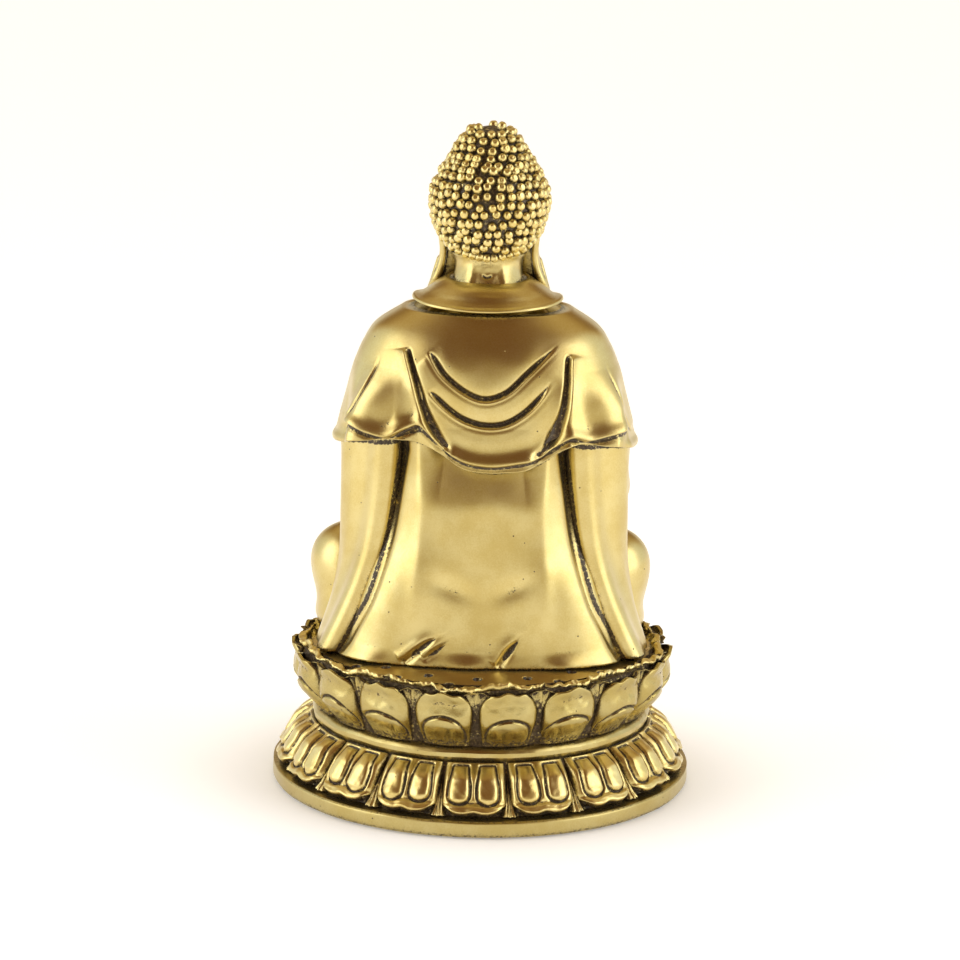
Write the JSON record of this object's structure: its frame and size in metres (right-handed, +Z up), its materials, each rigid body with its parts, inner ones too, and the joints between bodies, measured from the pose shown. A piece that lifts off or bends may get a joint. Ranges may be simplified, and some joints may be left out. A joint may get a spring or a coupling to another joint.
{
  "type": "buddha statue",
  "caption": "Seated brass buddha in robe and cape on a double-lotus throne; the figure lifts off on a spigot, the throne is clamped by a bolt.",
  "frame": {"origin": "centre of the underside, on the surface the statue stands on", "axes": "+Z up through the statue; the figure faces -Y, so its back is towards +Y and its left hand is on +X"},
  "size_m": [0.12, 0.12, 0.19],
  "materials": {
    "brass": "satin polish on the high places, dark brown patina in the recesses",
    "felt": "matt felt",
    "steel": "turned"
  },
  "bodies": {
    "throne": {"felt_pad": "felt", "closing_plate": "brass", "tie_bolt": "steel", "plinth": "brass", "lower_lotus": "brass", "lower_petals": "brass", "lower_petal_tips": "brass", "waist_band": "brass", "upper_lotus": "brass", "upper_petals": "brass", "upper_petal_tips": "brass", "seat": "brass", "index_pin": "steel"},
    "figure": {"figure_spigot": "steel", "robe_body": "brass", "lap": "brass", "left_sleeve": "brass", "right_sleeve": "brass", "left_forearm": "brass", "right_forearm": "brass", "left_hand": "brass", "right_hand": "brass", "left_foot": "brass", "right_foot": "brass", "inner_robe": "brass", "cape": "brass", "collar": "brass", "neck": "brass", "head": "brass", "left_ear": "brass", "right_ear": "brass", "hair": "brass", "ushnisha": "brass", "hair_jewel": "brass", "urna": "brass"}
  },
  "joints": [
    {"name": "figure_lift", "type": "slide", "parent": "throne", "child": "figure", "axis": [0, 0, 1], "range_m": [0, 0.03]}
  ]
}
